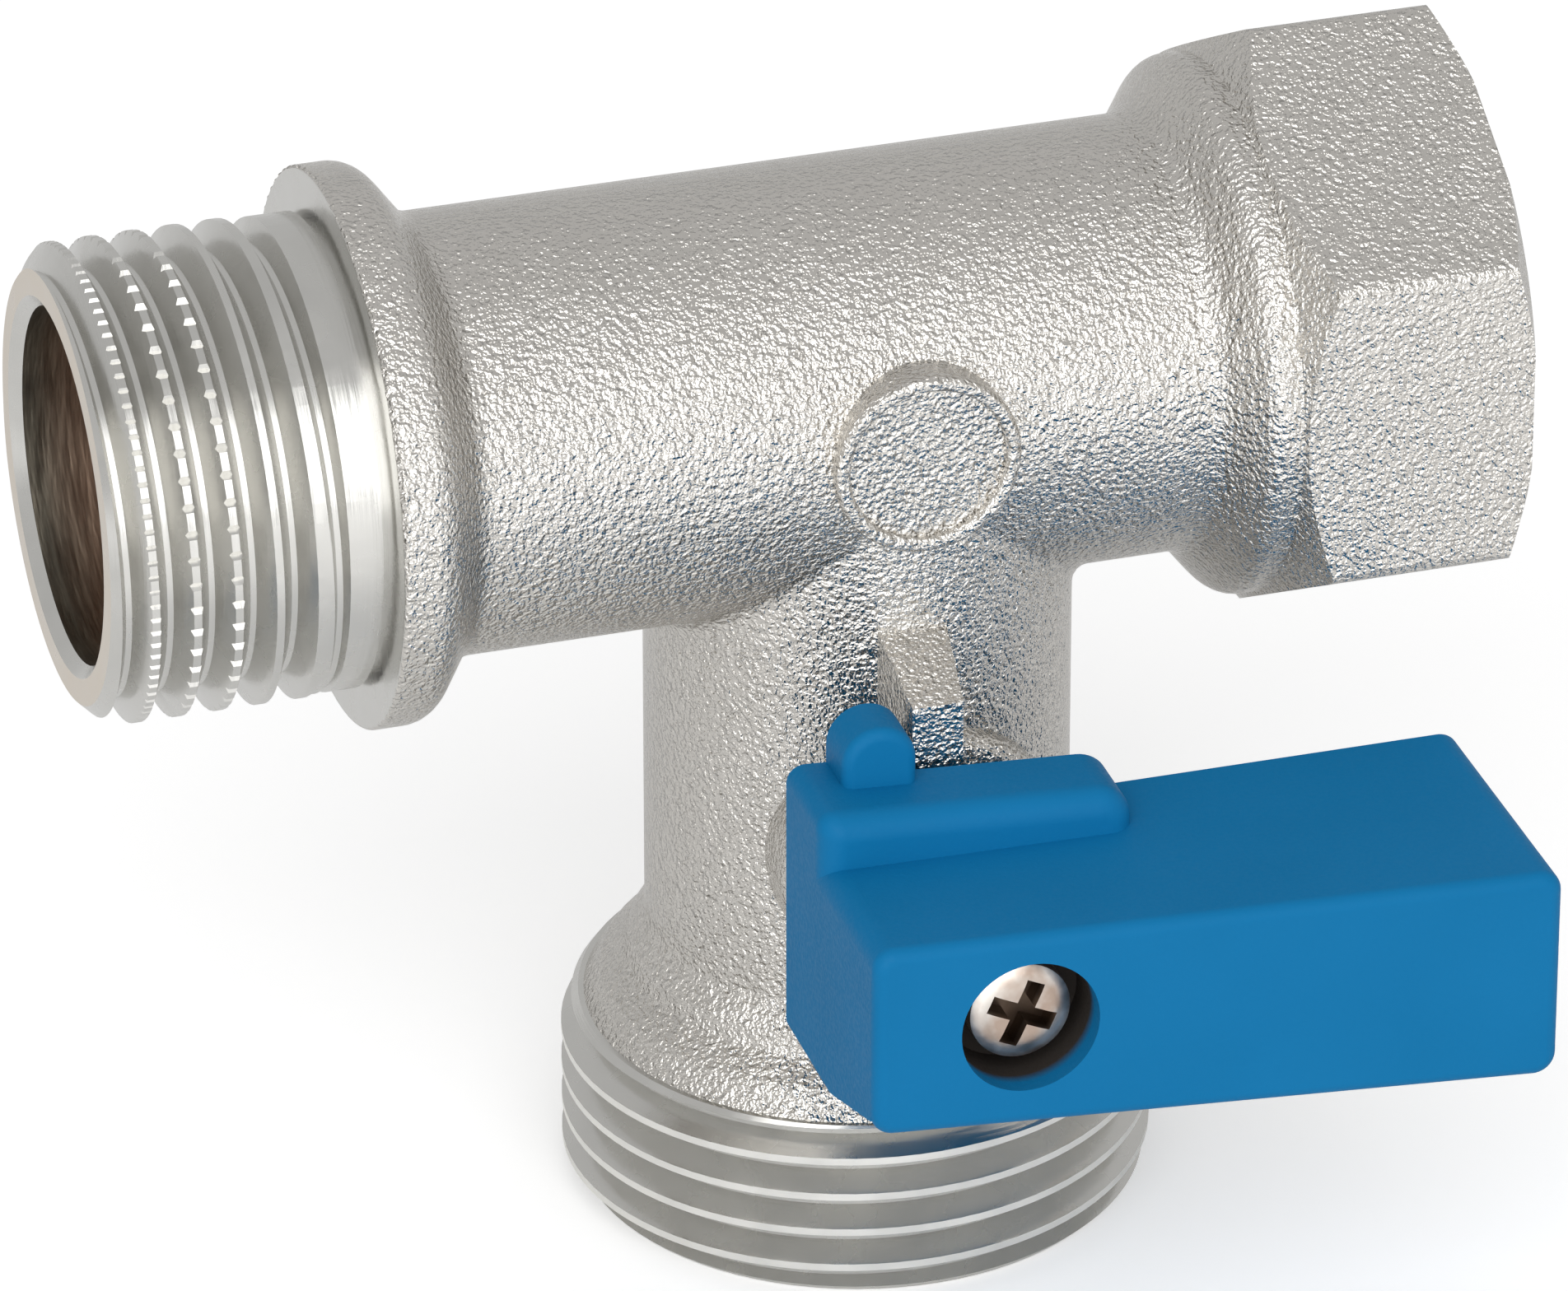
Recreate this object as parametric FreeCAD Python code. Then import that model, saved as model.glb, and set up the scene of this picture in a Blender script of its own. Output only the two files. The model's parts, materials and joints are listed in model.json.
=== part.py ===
"""Washing machine valve: a forged brass tee with a ball valve in its branch.

The origin is the crossing of the run's axis (X) and the branch's axis (Z). The male inlet is at -X,
the hexagon socket at +X, the hose outlet points down and the lever is on the front, at -Y.
The valve is drawn shut. All sizes are in millimetres.
"""
import FreeCAD
import Part
import math
import os

from FreeCAD import Vector

# Run: the straight pipe along X
run_od = 19.4
run_bore = 15.6
inlet_end = 36.0
socket_end = 26.85

# Male inlet thread, drawn at its major diameter, with a plain land and an undercut before the collar
inlet_thread_od = 20.955
inlet_thread_length = 9.4
inlet_chamfer = 1.0
inlet_land_od = 20.75
inlet_land_length = 2.3
undercut_od = 19.8
undercut_width = 0.4
bore_chamfer = 0.5

# Round collar behind the inlet
collar_od = 24.6
collar_rim_width = 2.25
collar_back_length = 1.9
collar_edge_round = 0.2
collar_back_round = 1.6
collar_root_round = 1.2

# Hexagon socket with a female thread, drawn at its minor diameter
hex_across_flats = 24.4
hex_corner_round = 0.8
hex_bead_od = 24.0
hex_bead_start = 13.4
hex_bead_slope_length = 1.8
hex_bead_flat = 1.2
hex_bead_round = 1.2
hex_root_round = 1.3
hex_cone_length = 1.5
hex_end_od = 25.0
hex_chamfer_angle = 30.0
socket_thread_minor = 18.631
socket_depth = 13.6
socket_mouth_chamfer = 1.2

# Branch and outlet along Z
branch_od = 18.9
outlet_end = 39.3
outlet_thread_od = 26.441
outlet_thread_length = 8.5
outlet_chamfer = 0.9
outlet_lead_od = 24.9
outlet_lead_length = 1.1
outlet_bore = 15.6
outlet_lip_chamfer = 0.6
shoulder_od = 24.4
shoulder_ridge_od = 22.9
shoulder_ridge_rise = 1.25
shoulder_ridge_round = 0.8
shoulder_valley_od = 20.8
shoulder_valley_rise = 2.1
shoulder_valley_round = 0.6
shoulder_ring_od = 20.3
shoulder_ring_rise = 3.05
shoulder_ring_round = 0.4
shoulder_root_rise = 4.1
shoulder_root_round = 1.0
junction_fillet = 1.0

# Stem boss, neck, stop rib and medallion on the front of the forging
stem_drop = 19.2
boss_od = 12.8
boss_rise = 0.75
boss_edge_round = 1.0
neck_od = 9.4
neck_front = 15.0
rib_width = 2.3
rib_draft = 6.0
rib_offset = -0.45
rib_front = 13.0
rib_foot_radius = 5.6
rib_top_radius = 9.55
rib_slope = 27.0
medallion_od = 8.4
medallion_height = 0.55
medallion_rise = 0.6
medallion_edge_round = 0.3
medallion_recess_od = 7.0
medallion_recess_depth = 0.35

# Ball, seats and retainer
ball_d = 13.0
ball_bore = 8.0
seat_bore = 8.4
seat_od = 13.4
seat_reach = 6.0
seat_thickness = 2.6
chamber_clearance = 0.1
ball_clearance = 0.2
retainer_od = 14.6
retainer_length = 4.5
retainer_thread_room = 0.6
retainer_slot_width = 2.0
retainer_slot_depth = 1.3

# Stem with its flange inside the body, so that pressure can't push it out
stem_d = 7.0
running_clearance = 0.05
flange_d = 9.2
flange_thickness = 1.2
flange_pocket_clearance = 0.1
washer_thickness = 0.5
washer_clearance = 0.05
pocket_front = 8.6
tang_width = 3.0
tang_length = 6.0
tang_depth = 2.4
tang_clearance = 0.1
ring_section = 1.16
ring_stretch = 0.03
ring_groove_width = 1.5
inner_ring_front = 10.4
outer_ring_front = 13.0
drive_d = 6.0
drive_flats = 4.4
drive_clearance = 0.1
drive_end_gap = 0.2

# Screw: cross recessed round head, shank drawn at its major diameter
screw_d = 2.5
screw_head_d = 4.5
screw_head_height = 2.0
screw_head_round = 1.2
screw_length = 7.0
screw_hole_clearance = 0.02
screw_pass_clearance = 0.15
recess_width = 0.85
recess_span = 3.1
recess_depth = 1.2
recess_turn = 21.0

# Lever, drawn square to the branch and then turned down to its shut stop
lever_droop = 3.5
lever_back = 12.0
arm_clearance = 0.45
lever_front = 24.7
lever_tip = 24.25
lever_back_tip = 23.4
lever_heel = 7.0
lever_heel_top = 4.3
lever_tip_top = 4.85
lever_heel_bottom = 4.8
lever_tip_bottom = 5.15
lever_back_heel_half_height = 4.25
lever_back_tip_half_height = 6.0
lever_edge_round = 0.6
lever_corner_round = 1.0
lever_belly_front = 4.0
lever_wall = 1.8
lever_core_start = 10.5
hub_nose = 7.2
hub_top = 6.7
hub_bottom = 6.4
hub_top_round = 0.8
hub_nose_round = 1.6
hub_foot_round = 0.5
ledge_front = 17.3
ledge_round = 1.1
hub_bore_clearance = 0.4
counterbore_d = 6.2
counterbore_depth = 3.2
lug_right = 1.85
lug_width = 3.35
lug_top = 9.4
lug_front = 14.6
lug_edge_round = 0.5
stop_clearance = 0.25
gap_floor_clearance = 0.4
gap_reach_clearance = 0.5

# Sizes that follow from those above
web_thickness = screw_d / 2
edge_tolerance = 0.01
upright_slope = math.tan(math.radians(lever_droop))
ball_centre = Vector(0, 0, -stem_drop)
medallion_front = run_od / 2 + medallion_rise
boss_front = branch_od / 2 + boss_rise
chamber_d = seat_od + 2 * chamber_clearance
lever_turn = 90 + lever_droop
arm_back = max(hex_across_flats / 2 + arm_clearance, rib_front + gap_floor_clearance)
bead_end = hex_bead_start + hex_bead_slope_length + hex_bead_flat
collar_face = -inlet_end + inlet_thread_length + inlet_land_length + undercut_width
shoulder_bottom = -outlet_end + outlet_thread_length


def outline(points):
    """Closed wire of straight lines through (vector, corner radius) pairs, with tangent arcs at corners."""
    edges = []
    starts = []
    ends = []
    mids = []
    count = len(points)
    for index, (corner, radius) in enumerate(points):
        before = (points[index - 1][0] - corner).normalize()
        after = (points[(index + 1) % count][0] - corner).normalize()
        half = before.getAngle(after) / 2
        if radius <= 0 or abs(half - math.pi / 2) < 1e-6:
            starts.append(corner)
            mids.append(None)
            ends.append(corner)
            continue
        reach = radius / math.tan(half)
        bisector = (before + after).normalize()
        starts.append(corner + before * reach)
        mids.append(corner + bisector * (radius / math.sin(half) - radius))
        ends.append(corner + after * reach)
    for index in range(count):
        if mids[index] is not None:
            edges.append(Part.Arc(starts[index], mids[index], ends[index]).toShape())
        following = starts[(index + 1) % count]
        if ends[index].distanceToPoint(following) > 1e-6:
            edges.append(Part.LineSegment(ends[index], following).toShape())
    return Part.Wire(edges)


def turned_x(points):
    """Solid of revolution about X from (x, radius, corner radius) rows."""
    wire = outline([(Vector(x, 0, radius), corner) for x, radius, corner in points])
    return Part.Face(wire).revolve(Vector(0, 0, 0), Vector(1, 0, 0), 360)


def turned_z(points):
    """Solid of revolution about Z from (z, radius, corner radius) rows."""
    wire = outline([(Vector(radius, 0, z), corner) for z, radius, corner in points])
    return Part.Face(wire).revolve(Vector(0, 0, 0), Vector(0, 0, 1), 360)


def rod_x(diameter, start, end):
    """Cylinder about X between two places."""
    return Part.makeCylinder(diameter / 2, end - start, Vector(start, 0, 0), Vector(1, 0, 0))


def rod_z(diameter, bottom, top):
    """Cylinder about Z between two heights."""
    return Part.makeCylinder(diameter / 2, top - bottom, Vector(0, 0, bottom), Vector(0, 0, 1))


def rod_front(diameter, back, front, centre=ball_centre):
    """Cylinder along -Y, between two distances in front of the XZ plane."""
    base = Vector(centre.x, -back, centre.z)
    return Part.makeCylinder(diameter / 2, front - back, base, Vector(0, -1, 0))


def block(x_range, front_range, z_range):
    """Box given by its limits, with Y counted forwards."""
    size = (x_range[1] - x_range[0], front_range[1] - front_range[0], z_range[1] - z_range[0])
    return Part.makeBox(*size, Vector(x_range[0], -front_range[1], z_range[0]))


def plate(points, back, front):
    """Prism along Y from (x, z, corner radius) rows about the stem's axis."""
    wire = outline([(Vector(x, -back, z - stem_drop), corner) for x, z, corner in points])
    return Part.Face(wire).extrude(Vector(0, back - front, 0))


def upright(points):
    """Lean (x, z, corner radius) rows back by the droop, so that their ends stand upright when shut."""
    return [(x - z * upright_slope, z, corner) for x, z, corner in points]


def shut(shape):
    """Turn a piece of the moving group from square to its shut place."""
    turned = shape.copy()
    turned.rotate(ball_centre, Vector(0, 1, 0), lever_droop)
    return turned


def soften(shape, radius, wanted):
    """Round the edges that the test picks."""
    edges = [edge for edge in shape.Edges if wanted(edge)]
    return shape.makeFillet(radius, edges)


def run_outside():
    """Inlet thread, land, undercut, collar, pipe and the round bead behind the hexagon."""
    thread_end = -inlet_end + inlet_thread_length
    land_end = thread_end + inlet_land_length
    collar_rim = collar_face + collar_rim_width
    collar_back = collar_rim + collar_back_length
    return turned_x([
        (-inlet_end, 0, 0),
        (-inlet_end, inlet_thread_od / 2 - inlet_chamfer, 0),
        (-inlet_end + inlet_chamfer, inlet_thread_od / 2, 0),
        (thread_end, inlet_thread_od / 2, 0),
        (thread_end, inlet_land_od / 2, 0),
        (land_end, inlet_land_od / 2, 0),
        (land_end, undercut_od / 2, 0),
        (collar_face, undercut_od / 2, 0),
        (collar_face, collar_od / 2, collar_edge_round),
        (collar_rim, collar_od / 2, collar_back_round),
        (collar_back, run_od / 2, collar_root_round),
        (hex_bead_start, run_od / 2, hex_root_round),
        (bead_end - hex_bead_flat, hex_bead_od / 2, hex_bead_round),
        (bead_end, hex_bead_od / 2, 0),
        (bead_end, 0, 0),
    ])


def hexagon():
    """Spanner hexagon, cut back by a cone where it leaves the bead and chamfered at its end."""
    across_corners = hex_across_flats / math.cos(math.radians(30))
    corners = []
    for step in range(6):
        angle = math.radians(30 + 60 * step)
        arm = Vector(0, math.cos(angle), math.sin(angle)) * (across_corners / 2)
        corners.append((Vector(hex_bead_start, 0, 0) + arm, hex_corner_round))
    prism = Part.Face(outline(corners)).extrude(Vector(socket_end - hex_bead_start, 0, 0))
    chamfer = (across_corners - hex_end_od) / 2 * math.tan(math.radians(hex_chamfer_angle))
    envelope = turned_x([
        (bead_end - hex_bead_flat / 4, 0, 0),
        (bead_end - hex_bead_flat / 4, hex_bead_od / 2, 0),
        (bead_end, hex_bead_od / 2, 0),
        (bead_end + hex_cone_length, across_corners / 2, 0),
        (socket_end - chamfer, across_corners / 2, 0),
        (socket_end, hex_end_od / 2, 0),
        (socket_end, 0, 0),
    ])
    return prism.common(envelope)


def branch_outside():
    """Branch pipe, forged shoulder and outlet thread."""
    return turned_z([
        (0, 0, 0),
        (-outlet_end, 0, 0),
        (-outlet_end, outlet_thread_od / 2 - outlet_chamfer, 0),
        (-outlet_end + outlet_chamfer, outlet_thread_od / 2, 0),
        (shoulder_bottom - outlet_lead_length, outlet_thread_od / 2, 0),
        (shoulder_bottom, outlet_lead_od / 2, 0),
        (shoulder_bottom, shoulder_od / 2, 0),
        (shoulder_bottom + shoulder_ridge_rise, shoulder_ridge_od / 2, shoulder_ridge_round),
        (shoulder_bottom + shoulder_valley_rise, shoulder_valley_od / 2, shoulder_valley_round),
        (shoulder_bottom + shoulder_ring_rise, shoulder_ring_od / 2, shoulder_ring_round),
        (shoulder_bottom + shoulder_root_rise, branch_od / 2, shoulder_root_round),
        (0, branch_od / 2, 0),
    ])


def stem_boss():
    """Round boss on the branch with the neck that guides the stem."""
    boss = rod_front(boss_od, 0, boss_front)
    boss = soften(boss, boss_edge_round, lambda edge: edge.CenterOfMass.y < -boss_front + edge_tolerance)
    return boss.fuse(rod_front(neck_od, 0, neck_front))


def stop_rib():
    """Upright rib that the lever's lug meets, wider at its foot, with a sloping top."""
    top = rib_top_radius - stem_drop
    foot = rib_foot_radius - stem_drop
    back = branch_od / 4
    rise = (rib_front - back) * math.tan(math.radians(rib_slope))
    spread = (rib_front - back) * math.tan(math.radians(rib_draft))
    half = rib_width / 2
    plan = outline([
        (Vector(rib_offset - half, -rib_front, foot), 0),
        (Vector(rib_offset + half, -rib_front, foot), 0),
        (Vector(rib_offset + half + spread, -back, foot), 0),
        (Vector(rib_offset - half - spread, -back, foot), 0),
    ])
    column = Part.Face(plan).extrude(Vector(0, 0, top + rise - foot))
    side = outline([
        (Vector(rib_offset - half - spread, -rib_front, foot), 0),
        (Vector(rib_offset - half - spread, -rib_front, top), 0),
        (Vector(rib_offset - half - spread, -back, top + rise), 0),
        (Vector(rib_offset - half - spread, -back, foot), 0),
    ])
    return column.common(Part.Face(side).extrude(Vector(rib_width + 2 * spread, 0, 0)))


def medallion():
    """Raised round pad on the front of the run, with a rounded rim about a shallow recess."""
    centre = Vector(0, 0, medallion_height)
    pad = rod_front(medallion_od, 0, medallion_front, centre)
    recess_floor = medallion_front - medallion_recess_depth
    pad = pad.cut(rod_front(medallion_recess_od, recess_floor, medallion_front, centre))
    front = -medallion_front + edge_tolerance
    return soften(pad, medallion_edge_round, lambda edge: edge.CenterOfMass.y < front)


def waterways():
    """All that is bored out of the forging."""
    socket_bottom = socket_end - socket_depth
    mouth = socket_thread_minor / 2
    seat_shoulder = seat_reach - stem_drop
    seat_back = -seat_reach - stem_drop
    retainer_end = seat_back - retainer_length
    cuts = [
        rod_x(run_bore, -inlet_end, socket_bottom),
        rod_x(socket_thread_minor, socket_bottom, socket_end),
        Part.makeCone(mouth + socket_mouth_chamfer, mouth, socket_mouth_chamfer,
                      Vector(socket_end, 0, 0), Vector(-1, 0, 0)),
        Part.makeCone(run_bore / 2 + bore_chamfer, run_bore / 2, bore_chamfer,
                      Vector(-inlet_end, 0, 0), Vector(1, 0, 0)),
        rod_z(seat_bore, seat_shoulder, 0),
        rod_z(chamber_d, seat_back, seat_shoulder),
        rod_z(retainer_od + 2 * chamber_clearance, retainer_end - retainer_thread_room, seat_back),
        rod_z(outlet_bore, -outlet_end, retainer_end - retainer_thread_room),
        Part.makeCone(outlet_bore / 2 + outlet_lip_chamfer, outlet_bore / 2, outlet_lip_chamfer,
                      Vector(0, 0, -outlet_end), Vector(0, 0, 1)),
        rod_front(stem_d + 2 * running_clearance, 0, neck_front),
        rod_front(flange_d + 2 * flange_pocket_clearance, 0, pocket_front),
    ]
    return cuts


def valve_body():
    """The forging: outside forms fused, corner between run and branch filleted, then bored."""
    run = run_outside().fuse(hexagon())
    tee = run.fuse(branch_outside()).removeSplitter()
    reach = (run_od + branch_od) / 2

    def is_junction(edge):
        middle = edge.valueAt((edge.FirstParameter + edge.LastParameter) / 2)
        on_run = abs(math.hypot(middle.y, middle.z) - run_od / 2) < edge_tolerance
        on_branch = abs(math.hypot(middle.x, middle.y) - branch_od / 2) < edge_tolerance
        return on_run and on_branch and abs(middle.x) < reach

    tee = soften(tee, junction_fillet, is_junction)
    body = tee.fuse(stem_boss()).fuse(stop_rib()).fuse(medallion())
    return body.cut(waterways())


def ball():
    """Ball with its bore across the branch while shut, and a slot for the stem's tang."""
    sphere = Part.makeSphere(ball_d / 2, ball_centre)
    bore = rod_x(ball_bore, -ball_d, ball_d)
    bore.translate(ball_centre)
    slot_floor = flange_top() - tang_depth - tang_clearance
    half = tang_width / 2 + tang_clearance
    slot = block((-half, half), (slot_floor, ball_d), (-stem_drop - ball_d, -stem_drop + ball_d))
    return shut(sphere.cut([bore, slot]))


def flange_top():
    """Distance in front at which the stem's flange begins and its tang ends."""
    return pocket_front - washer_thickness - washer_clearance - flange_thickness


def seat(side):
    """PTFE ring with a hollow for the ball, above (1) or below (-1) it."""
    back = side * seat_reach - stem_drop
    front = side * (seat_reach - seat_thickness) - stem_drop
    ring = rod_z(seat_od, min(back, front), max(back, front))
    hollow = Part.makeSphere(ball_d / 2 + ball_clearance, ball_centre)
    return ring.cut([rod_z(seat_bore, min(back, front), max(back, front)), hollow])


def seat_retainer():
    """Ring screwed in from the outlet, with two slots for its key."""
    top = -seat_reach - stem_drop
    bottom = top - retainer_length
    half = retainer_slot_width / 2
    ring = rod_z(retainer_od, bottom, top).cut(rod_z(seat_bore, bottom, top))
    slot = block((-retainer_od, retainer_od), (-half, half), (bottom, bottom + retainer_slot_depth))
    return ring.cut(slot)


def ring_centre_radius():
    """Radius of the O-rings' core circle, with their outside just clear of the bore."""
    return stem_d / 2 + running_clearance - ring_stretch - ring_section / 2


def stem_ring(front):
    """O-ring round the stem."""
    centre = Vector(0, -front, -stem_drop)
    return Part.makeTorus(ring_centre_radius(), ring_section / 2, centre, Vector(0, 1, 0))


def stem():
    """Tang, flange, journal with two grooves, drive flats and the screw's hole."""
    shoulder = neck_front + hub_bore_clearance
    drive_end = web_back() - drive_end_gap
    groove_d = 2 * ring_centre_radius() - ring_section - ring_stretch
    half = tang_width / 2
    tang = block((-half, half), (flange_top() - tang_depth, flange_top()),
                 (-stem_drop - tang_length / 2, -stem_drop + tang_length / 2))
    flange = rod_front(flange_d, flange_top(), flange_top() + flange_thickness)
    journal = rod_front(stem_d, flange_top(), shoulder)
    for front in (inner_ring_front, outer_ring_front):
        band = rod_front(stem_d, front - ring_groove_width / 2, front + ring_groove_width / 2)
        core = rod_front(groove_d, front - ring_groove_width / 2, front + ring_groove_width / 2)
        journal = journal.cut(band.cut(core))
    drive = rod_front(drive_d, shoulder, drive_end)
    flats = block((-drive_d, drive_d), (shoulder, drive_end),
                  (-stem_drop - drive_flats / 2, -stem_drop + drive_flats / 2))
    hole_floor = web_front() - screw_length - screw_d / 2
    hole = rod_front(screw_d + 2 * screw_hole_clearance, hole_floor, drive_end)
    whole = tang.fuse([flange, journal, drive.common(flats)]).cut(hole)
    return shut(whole)


def thrust_washer():
    """PTFE washer between the flange and the end of its pocket."""
    back = pocket_front - washer_clearance - washer_thickness
    ring = rod_front(flange_d, back, back + washer_thickness)
    return ring.cut(rod_front(stem_d, back, back + washer_thickness))


def web_front():
    """Floor of the lever's counterbore, on which the screw's head sits."""
    return lever_front - counterbore_depth


def web_back():
    """Inner end of the lever's drive socket."""
    return web_front() - web_thickness


def handle_screw():
    """Round head screw with a cross recess, as far round as it was tightened."""
    head = rod_front(screw_head_d, web_front(), web_front() + screw_head_height)
    crown = web_front() + screw_head_height
    head = soften(head, screw_head_round, lambda edge: edge.CenterOfMass.y < -crown + edge_tolerance)
    shank = rod_front(screw_d, web_front() - screw_length, web_front())
    wide = recess_span / 2
    thin = recess_width / 2
    floor = crown - recess_depth
    level = block((-wide, wide), (floor, crown), (-stem_drop - thin, -stem_drop + thin))
    tall = block((-thin, thin), (floor, crown), (-stem_drop - wide, -stem_drop + wide))
    cross = level.fuse(tall)
    cross.rotate(ball_centre, Vector(0, 1, 0), recess_turn)
    return shut(head.fuse(shank).cut(cross))


def arm_outline(tip, tops, bottoms, distance):
    """Outline of the arm at a distance in front, from its heights at heel and tip."""
    rows = upright([
        (-lever_heel, -bottoms[0], 0),
        (tip, -bottoms[1], 0),
        (tip, tops[1], 0),
        (-lever_heel, tops[0], 0),
    ])
    return outline([(Vector(x, -distance, z - stem_drop), corner) for x, z, corner in rows])


def lever_arm():
    """Arm that grows towards its tip and, with the mould's draft, towards its back."""
    tops = (lever_heel_top, lever_tip_top)
    bottoms = (lever_heel_bottom, lever_tip_bottom)
    back_halves = (lever_back_heel_half_height, lever_back_tip_half_height)
    front = arm_outline(lever_tip, tops, bottoms, lever_front)
    back = arm_outline(lever_back_tip, back_halves, back_halves, arm_back)
    arm = Part.makeLoft([front, back], True, True)
    depth = lever_front - arm_back
    front_face = -lever_front + edge_tolerance
    arm = soften(arm, lever_corner_round, lambda edge: edge.BoundBox.YLength > depth - edge_tolerance)
    return soften(arm, lever_edge_round, lambda edge: edge.BoundBox.YMax < front_face)


def lever_core():
    """Hollow in the arm, open to the back, that keeps its walls even."""
    half = lever_tip_top - lever_wall
    return plate(upright([
        (lever_core_start, -half, lever_corner_round),
        (lever_back_tip - lever_wall, -half, lever_corner_round),
        (lever_back_tip - lever_wall, half, lever_corner_round),
        (lever_core_start, half, lever_corner_round),
    ]), arm_back, lever_front - lever_wall)


def lever_hub():
    """Broad hub behind the arm, with a ledge, a belly, its stop lug and the gap that the rib runs in."""
    hub = plate(upright([
        (-lever_heel, -hub_bottom, hub_foot_round),
        (hub_nose, -hub_bottom, hub_foot_round),
        (hub_nose, hub_top, hub_nose_round),
        (-lever_heel, hub_top, hub_top_round),
    ]), lever_back, ledge_front)
    hub = soften(hub, ledge_round, lambda edge: edge.BoundBox.YMax < -ledge_front + edge_tolerance)
    belly = plate(upright([
        (-lever_heel, -hub_bottom, hub_foot_round),
        (hub_nose, -hub_bottom, hub_foot_round),
        (hub_nose, 0, 0),
        (-lever_heel, 0, 0),
    ]), lever_back, lever_front - lever_edge_round)
    slope = outline([
        (Vector(-2 * lever_heel, -ledge_front, -hub_bottom - stem_drop), 0),
        (Vector(-2 * lever_heel, -lever_front, -lever_belly_front - stem_drop), 0),
        (Vector(-2 * lever_heel, -lever_front, -2 * hub_bottom - stem_drop), 0),
        (Vector(-2 * lever_heel, -ledge_front, -2 * hub_bottom - stem_drop), 0),
    ])
    belly = belly.cut(Part.Face(slope).extrude(Vector(4 * lever_heel, 0, 0)))
    lug_round = lug_width / 2 - edge_tolerance
    lug = plate(upright([
        (-lug_right - lug_width, 0, 0),
        (-lug_right, 0, 0),
        (-lug_right, lug_top, lug_round),
        (-lug_right - lug_width, lug_top, lug_round),
    ]), lever_back, lug_front)
    lug = soften(lug, lug_edge_round, lambda edge: edge.BoundBox.YMax < -lug_front + edge_tolerance)
    reach = rib_top_radius + gap_reach_clearance
    open_stop = -rib_offset - rib_width / 2 - stop_clearance
    gap = plate([
        (-lug_right - open_stop * upright_slope, open_stop, 0),
        (reach, open_stop, 0),
        (reach, reach, 0),
        (-lug_right - reach * upright_slope, reach, 0),
    ], lever_back, rib_front + gap_floor_clearance)
    return hub.fuse(belly).fuse(lug).cut(gap)


def lever_handle():
    """Lever with its arm and hub, the socket for the stem's flats and the screw's counterbore."""
    whole = lever_arm().fuse(lever_hub())
    bore_floor = neck_front + hub_bore_clearance
    neck_room = rod_front(neck_od + 2 * hub_bore_clearance, lever_back, bore_floor)
    socket = rod_front(drive_d + 2 * drive_clearance, bore_floor, web_back())
    half = drive_flats / 2 + drive_clearance
    flats = block((-drive_d, drive_d), (bore_floor, web_back()), (-stem_drop - half, -stem_drop + half))
    screw_pass = rod_front(screw_d + 2 * screw_pass_clearance, web_back(), web_front())
    counterbore = rod_front(counterbore_d, web_front(), lever_front)
    return shut(whole.cut([lever_core(), neck_room, socket.common(flats), screw_pass, counterbore]))


pieces = {
    "valve_body": valve_body(),
    "ball": ball(),
    "inlet_seat": seat(1),
    "outlet_seat": seat(-1),
    "seat_retainer": seat_retainer(),
    "stem": stem(),
    "thrust_washer": thrust_washer(),
    "inner_stem_ring": stem_ring(inner_ring_front),
    "outer_stem_ring": stem_ring(outer_ring_front),
    "lever_handle": lever_handle(),
    "handle_screw": handle_screw(),
}

os.makedirs("parts", exist_ok=True)
for name, shape in pieces.items():
    solid = shape.Solids[0]
    solid.exportStep("parts/" + name + ".step")
    print(name, len(shape.Solids), "solid", round(solid.Volume, 2), "mm3", "valid", solid.isValid())
print("lever turns", lever_turn, "degrees")
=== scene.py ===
# %% [markdown]
# # Washing machine valve
# The part is a forged brass tee, nickel plated and left with its shot-blasted skin. A ball valve sits in
# the branch and a blue plastic lever works it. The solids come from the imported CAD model, so no form is
# built twice: this file adds the cut threads, the serrated crests, the screw's dome and the finishes.

import bmesh
import bpy
import json
import math
import numpy as np
from mathutils import Matrix, Vector


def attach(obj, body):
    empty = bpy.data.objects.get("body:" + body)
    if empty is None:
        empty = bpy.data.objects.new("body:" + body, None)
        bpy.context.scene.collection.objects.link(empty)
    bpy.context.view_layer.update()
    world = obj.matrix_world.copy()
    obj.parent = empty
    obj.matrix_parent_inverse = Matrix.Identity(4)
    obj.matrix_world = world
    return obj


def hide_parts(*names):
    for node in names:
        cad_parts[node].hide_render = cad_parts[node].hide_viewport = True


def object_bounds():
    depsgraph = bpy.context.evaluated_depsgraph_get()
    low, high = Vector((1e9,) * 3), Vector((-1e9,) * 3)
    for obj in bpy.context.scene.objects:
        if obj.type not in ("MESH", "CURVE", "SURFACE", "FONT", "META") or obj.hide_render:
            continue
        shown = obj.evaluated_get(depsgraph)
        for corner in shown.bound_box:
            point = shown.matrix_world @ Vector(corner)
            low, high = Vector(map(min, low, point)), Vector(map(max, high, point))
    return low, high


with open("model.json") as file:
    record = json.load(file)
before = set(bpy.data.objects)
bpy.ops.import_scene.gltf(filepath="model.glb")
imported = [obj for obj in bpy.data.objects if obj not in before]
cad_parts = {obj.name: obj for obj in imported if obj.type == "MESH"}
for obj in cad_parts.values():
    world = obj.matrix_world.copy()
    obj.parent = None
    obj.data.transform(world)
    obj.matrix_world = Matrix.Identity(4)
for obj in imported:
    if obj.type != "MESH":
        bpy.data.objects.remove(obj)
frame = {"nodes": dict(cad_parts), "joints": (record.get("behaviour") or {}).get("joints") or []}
nodes = frame["nodes"]
cad_box = [list(corner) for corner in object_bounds()]
MM = 0.001
print("solids:", ", ".join(sorted(nodes)))

# %% [markdown]
# ## Camera
# The photograph looks down on the valve from the left with a long lens. A camera could be placed by eye,
# but straight edges of known size were fitted instead: the eye stands about half a metre away, so the run
# narrows very little towards the hexagon. The lens is worked out for a 36 mm wide sensor.

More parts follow.
